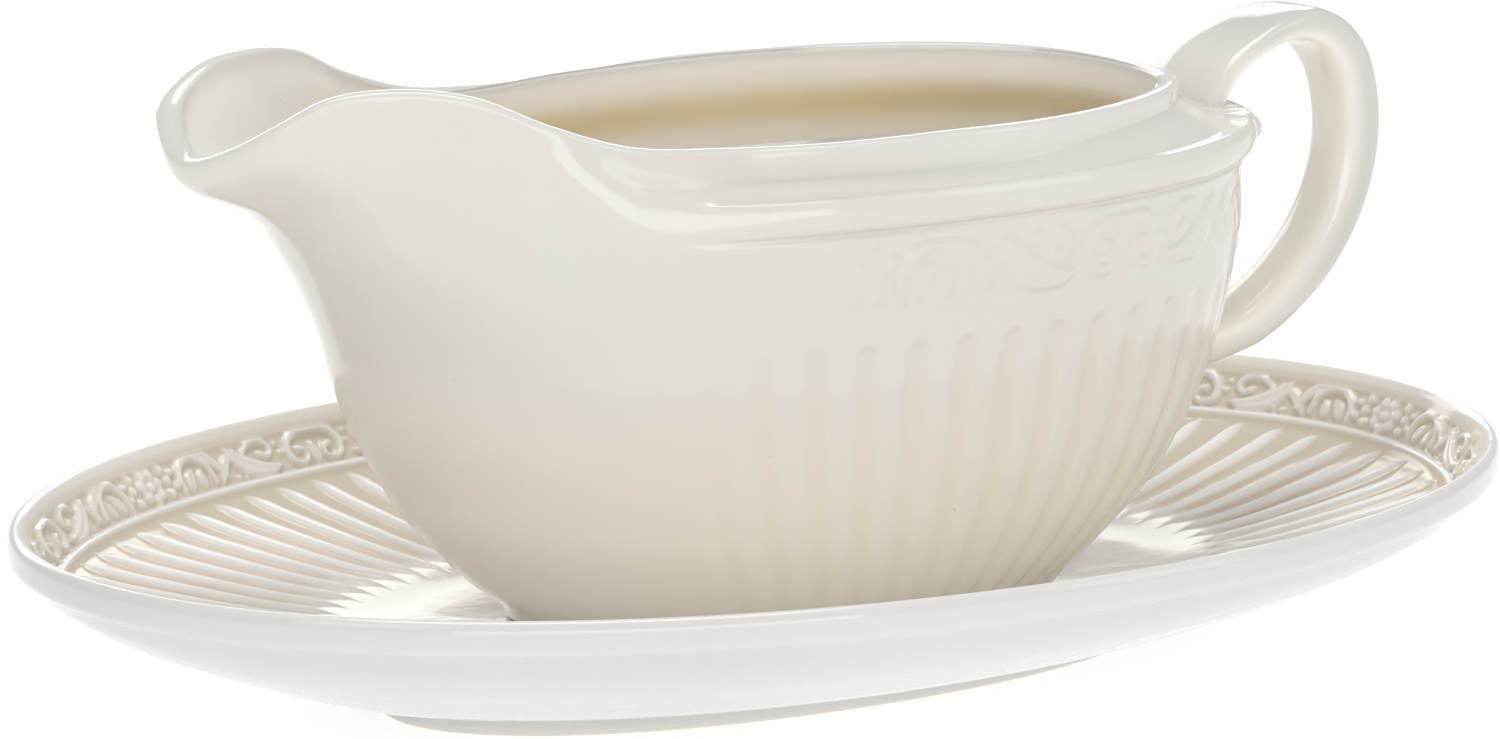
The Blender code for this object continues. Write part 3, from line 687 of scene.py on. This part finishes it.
# ================================================================== materials
def glaze(name, thin, thick_and_painted, foot=None, painted_lift_low=None, inside_painted_light=None):
    """Clear gloss glaze over ivory earthenware, warmer where it gathers in hollows. The same colour mix also carries
    painted shade and painted light: darker below the saucer's rim band and in the boat's flutes, and lifted on the
    handle, on the inner surfaces and towards the boat's foot.
    """
    m = bpy.data.materials.new(name)
    m.use_nodes = True
    nt = m.node_tree
    nd, lk = nt.nodes, nt.links
    p = nd['Principled BSDF']
    attr = nd.new('ShaderNodeAttribute')
    attr.attribute_name = 'pool_and_painted_light'
    tex = nd.new('ShaderNodeTexCoord')
    # cloudy variation of the body under the glaze, a few centimetres across
    cloud = nd.new('ShaderNodeTexNoise')
    cloud.inputs['Scale'].default_value = 22.0
    cloud.inputs['Detail'].default_value = 3.0
    lk.new(tex.outputs['Object'], cloud.inputs['Vector'])
    spread = nd.new('ShaderNodeMapRange')
    spread.inputs['From Min'].default_value = 0.35
    spread.inputs['From Max'].default_value = 0.65
    spread.inputs['To Min'].default_value = -0.05
    spread.inputs['To Max'].default_value = 0.05
    lk.new(cloud.outputs['Fac'], spread.inputs['Value'])
    add = nd.new('ShaderNodeMath')
    add.operation = 'ADD'
    add.use_clamp = True
    lk.new(attr.outputs['Fac'], add.inputs[0])
    lk.new(spread.outputs['Result'], add.inputs[1])
    mix = nd.new('ShaderNodeMix')
    mix.data_type = 'RGBA'
    mix.inputs['A'].default_value = (*thin, 1)
    mix.inputs['B'].default_value = (*thick_and_painted, 1)
    lk.new(add.outputs[0], mix.inputs['Factor'])
    colour = mix.outputs['Result']
    if inside_painted_light is not None:
        # painted light: inner and upper surfaces take their own, brighter colour pair, lifting them out of their
        # shade; its darker golden colour serves glaze pooling and painted shade there
        where = nd.new('ShaderNodeAttribute')
        where.attribute_name = 'inside_painted_light'
        pair = nd.new('ShaderNodeMix')
        pair.data_type = 'RGBA'
        pair.inputs['A'].default_value = (*inside_painted_light[0], 1)
        pair.inputs['B'].default_value = (*inside_painted_light[1], 1)
        lk.new(add.outputs[0], pair.inputs['Factor'])
        pick = nd.new('ShaderNodeMix')
        pick.data_type = 'RGBA'
        lk.new(where.outputs['Fac'], pick.inputs['Factor'])
        lk.new(colour, pick.inputs['A'])
        lk.new(pair.outputs['Result'], pick.inputs['B'])
        colour = pick.outputs['Result']
    sep = nd.new('ShaderNodeSeparateXYZ')
    lk.new(tex.outputs['Object'], sep.inputs[0])
    if painted_lift_low is not None:
        # painted light: lighter and a little warmer towards the foot, lifting the shaded lower outside
        z0, z1, lift_tone = painted_lift_low
        ramp = nd.new('ShaderNodeMapRange')
        ramp.interpolation_type = 'SMOOTHSTEP'
        ramp.inputs['From Min'].default_value = z1
        ramp.inputs['From Max'].default_value = z0
        lk.new(sep.outputs['Z'], ramp.inputs['Value'])
        mul = nd.new('ShaderNodeMix')
        mul.data_type = 'RGBA'
        mul.blend_type = 'MULTIPLY'
        mul.inputs['B'].default_value = (*lift_tone, 1)
        if inside_painted_light is not None:
            only = nd.new('ShaderNodeMath')
            only.operation = 'SUBTRACT'
            only.use_clamp = True
            lk.new(ramp.outputs['Result'], only.inputs[0])
            lk.new(where.outputs['Fac'], only.inputs[1])
            lk.new(only.outputs[0], mul.inputs['Factor'])
        else:
            lk.new(ramp.outputs['Result'], mul.inputs['Factor'])
        lk.new(colour, mul.inputs['A'])
        colour = mul.outputs['Result']
    # tiny iron specks
    speck = nd.new('ShaderNodeTexVoronoi')
    speck.inputs['Scale'].default_value = 95.0
    speck.inputs['Randomness'].default_value = 1.0
    lk.new(tex.outputs['Object'], speck.inputs['Vector'])
    dot = nd.new('ShaderNodeMapRange')
    dot.inputs['From Min'].default_value = 0.010
    dot.inputs['From Max'].default_value = 0.030
    dot.inputs['To Min'].default_value = 0.35
    dot.inputs['To Max'].default_value = 0.0
    lk.new(speck.outputs['Distance'], dot.inputs['Value'])
    dark = nd.new('ShaderNodeMix')
    dark.data_type = 'RGBA'
    dark.inputs['B'].default_value = (0.36, 0.28, 0.20, 1)
    lk.new(dot.outputs['Result'], dark.inputs['Factor'])
    lk.new(colour, dark.inputs['A'])
    colour = dark.outputs['Result']
    rough = None
    if foot is not None:
        # bare ring where the piece stood in the kiln
        bare = nd.new('ShaderNodeMapRange')
        bare.inputs['From Min'].default_value = foot
        bare.inputs['From Max'].default_value = foot + 0.0003
        bare.inputs['To Min'].default_value = 1.0
        bare.inputs['To Max'].default_value = 0.0
        lk.new(sep.outputs['Z'], bare.inputs['Value'])
        raw = nd.new('ShaderNodeMix')
        raw.data_type = 'RGBA'
        raw.inputs['B'].default_value = (0.72, 0.66, 0.56, 1)
        lk.new(bare.outputs['Result'], raw.inputs['Factor'])
        lk.new(colour, raw.inputs['A'])
        colour = raw.outputs['Result']
        rough = bare
    lk.new(colour, p.inputs['Base Color'])
    # orange-peel of the glaze: shallow, a few millimetres across, with finer pin marks
    peel = nd.new('ShaderNodeTexNoise')
    peel.inputs['Scale'].default_value = 160.0
    peel.inputs['Detail'].default_value = 2.0
    lk.new(tex.outputs['Object'], peel.inputs['Vector'])
    bump = nd.new('ShaderNodeBump')
    bump.inputs['Strength'].default_value = 0.16
    bump.inputs['Distance'].default_value = 0.0005
    lk.new(peel.outputs['Fac'], bump.inputs['Height'])
    lk.new(bump.outputs['Normal'], p.inputs['Normal'])
    rr = nd.new('ShaderNodeMapRange')
    rr.inputs['From Min'].default_value = 0.3
    rr.inputs['From Max'].default_value = 0.7
    rr.inputs['To Min'].default_value = 0.07
    rr.inputs['To Max'].default_value = 0.13
    lk.new(cloud.outputs['Fac'], rr.inputs['Value'])
    if rough is not None:
        rm = nd.new('ShaderNodeMix')
        rm.data_type = 'FLOAT'
        rm.inputs['B'].default_value = 0.75
        lk.new(rough.outputs['Result'], rm.inputs['Factor'])
        lk.new(rr.outputs['Result'], rm.inputs['A'])
        lk.new(rm.outputs['Result'], p.inputs['Roughness'])
    else:
        lk.new(rr.outputs['Result'], p.inputs['Roughness'])
    p.inputs['IOR'].default_value = 1.52
    return m


def floor_material():
    m = bpy.data.materials.new('table_white')
    m.use_nodes = True
    nt = m.node_tree
    p = nt.nodes['Principled BSDF']
    tex = nt.nodes.new('ShaderNodeTexCoord')
    noise = nt.nodes.new('ShaderNodeTexNoise')
    noise.inputs['Scale'].default_value = 3.0
    nt.links.new(tex.outputs['Object'], noise.inputs['Vector'])
    mix = nt.nodes.new('ShaderNodeMix')
    mix.data_type = 'RGBA'
    mix.inputs['A'].default_value = (0.50, 0.50, 0.50, 1)
    mix.inputs['B'].default_value = (0.53, 0.53, 0.53, 1)
    nt.links.new(noise.outputs['Fac'], mix.inputs['Factor'])
    nt.links.new(mix.outputs['Result'], p.inputs['Base Color'])
    p.inputs['Roughness'].default_value = 0.6
    p.inputs['Specular IOR Level'].default_value = 0.1
    # the table is a lit white panel, so the piece throws hardly any shadow on it
    p.inputs['Emission Color'].default_value = (1, 1, 1, 1)
    p.inputs['Emission Strength'].default_value = 0.66
    return m


# the inner colour pairs of boat and saucer and the boat's foot lift are painted light; the handle's second colour,
# brighter than its first, is painted light too
boat_glaze = glaze('boat_glaze_look', (0.672, 0.654, 0.625), (0.610, 0.535, 0.405), foot=0.0103,
                   painted_lift_low=(0.012, 0.066, (1.38, 1.36, 1.30)), inside_painted_light=((0.87, 0.85, 0.81), (0.77, 0.61, 0.31)))
handle_glaze = glaze('handle_glaze_look', (0.575, 0.561, 0.530), (0.890, 0.855, 0.780))
saucer_glaze = glaze('saucer_glaze_look', (0.655, 0.648, 0.634), (0.520, 0.495, 0.455), foot=0.0003,
                     inside_painted_light=((0.89, 0.88, 0.86), (0.640, 0.580, 0.475)))

saucer = make_saucer(saucer_glaze)
boat = make_boat(boat_glaze)
handle = make_handle(handle_glaze)

for piece, node, body, slot in ((saucer, 'saucer', 'saucer', 'saucer_glaze'),
                                (boat, 'boat_body', 'boat', 'boat_glaze'),
                                (handle, 'boat_handle', 'boat', 'handle_glaze')):
    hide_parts(node)
    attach(piece, body)

# ====================================================================== stage
bm_floor = bpy.data.meshes.new('table_top')
size = 30.0
bm_floor.from_pydata([(-size, -size, -0.0002), (size, -size, -0.0002), (size, size, -0.0002), (-size, size, -0.0002)],
                     [], [(0, 1, 2, 3)])
bm_floor.update()
table = bpy.data.objects.new('table_top', bm_floor)
scene.collection.objects.link(table)
bm_floor.materials.append(floor_material())

world = bpy.data.worlds.new('studio') if scene.world is None else scene.world
scene.world = world
world.use_nodes = True
wn, wl = world.node_tree.nodes, world.node_tree.links
bg = wn['Background']
coord = wn.new('ShaderNodeTexCoord')
sep = wn.new('ShaderNodeSeparateXYZ')
wl.new(coord.outputs['Generated'], sep.inputs[0])
ramp = wn.new('ShaderNodeMapRange')
ramp.inputs['From Min'].default_value = -0.1
ramp.inputs['From Max'].default_value = 0.9
ramp.inputs['To Min'].default_value = 0.66
ramp.inputs['To Max'].default_value = 0.50
wl.new(sep.outputs['Z'], ramp.inputs['Value'])
wl.new(ramp.outputs['Result'], bg.inputs['Strength'])
bg.inputs['Color'].default_value = (1, 1, 1, 1)


def soft_box(name, place, target, size_x, size_y, watts, colour=(1, 1, 1)):
    data = bpy.data.lights.new(name, 'AREA')
    data.shape = 'RECTANGLE'
    data.size, data.size_y = size_x, size_y
    data.energy = watts
    data.color = colour
    ob = bpy.data.objects.new(name, data)
    scene.collection.objects.link(ob)
    ob.location = place
    ob.rotation_euler = (Vector(target) - Vector(place)).to_track_quat('-Z', 'Y').to_euler()
    return ob


soft_box('key_left', (-1.0, -0.50, 0.85), (0, 0, 0.05), 0.5, 0.6, 1.45)
soft_box('fill_right', (0.85, -0.85, 0.60), (0, 0, 0.05), 0.45, 0.8, 1.5)
soft_box('front', (-0.40, -1.15, 0.24), (0, 0, 0.04), 1.2, 0.4, 3.9)
soft_box('top', (0.05, 0.10, 1.15), (0, 0, 0.05), 0.7, 0.5, 4.9)
soft_box('back', (0.35, 1.15, 0.52), (0, 0, 0.05), 1.3, 0.4, 3.4)

scene.view_settings.view_transform = 'Standard'
scene.view_settings.look = 'None'

# ===================================================================== camera
AZ, EL, DIST, ROLL = math.radians(-32.0), math.radians(11.58), 0.99369, math.radians(-0.22)
target = Vector((-0.00444, 0.0, 0.04547))
back = Vector((math.sin(AZ) * math.cos(EL), -math.cos(AZ) * math.cos(EL), math.sin(EL)))
right = Vector((0, 0, 1)).cross(back).normalized()
up = back.cross(right)
r_axis = right * math.cos(ROLL) + up * math.sin(ROLL)
u_axis = -right * math.sin(ROLL) + up * math.cos(ROLL)
cam_data = bpy.data.cameras.new('camera')
cam = bpy.data.objects.new('camera', cam_data)
scene.collection.objects.link(cam)
rot = Matrix((r_axis, u_axis, back)).transposed()
cam.matrix_world = Matrix.Translation(target + back * DIST) @ rot.to_4x4()
cam_data.sensor_width = 36.0
cam_data.lens = 6658.85 / 1500 * 36.0
cam_data.shift_x = 1.31 / 1500
cam_data.clip_start = 0.05
cam_data.clip_end = 100
cam_data.dof.use_dof = False
scene.camera = cam
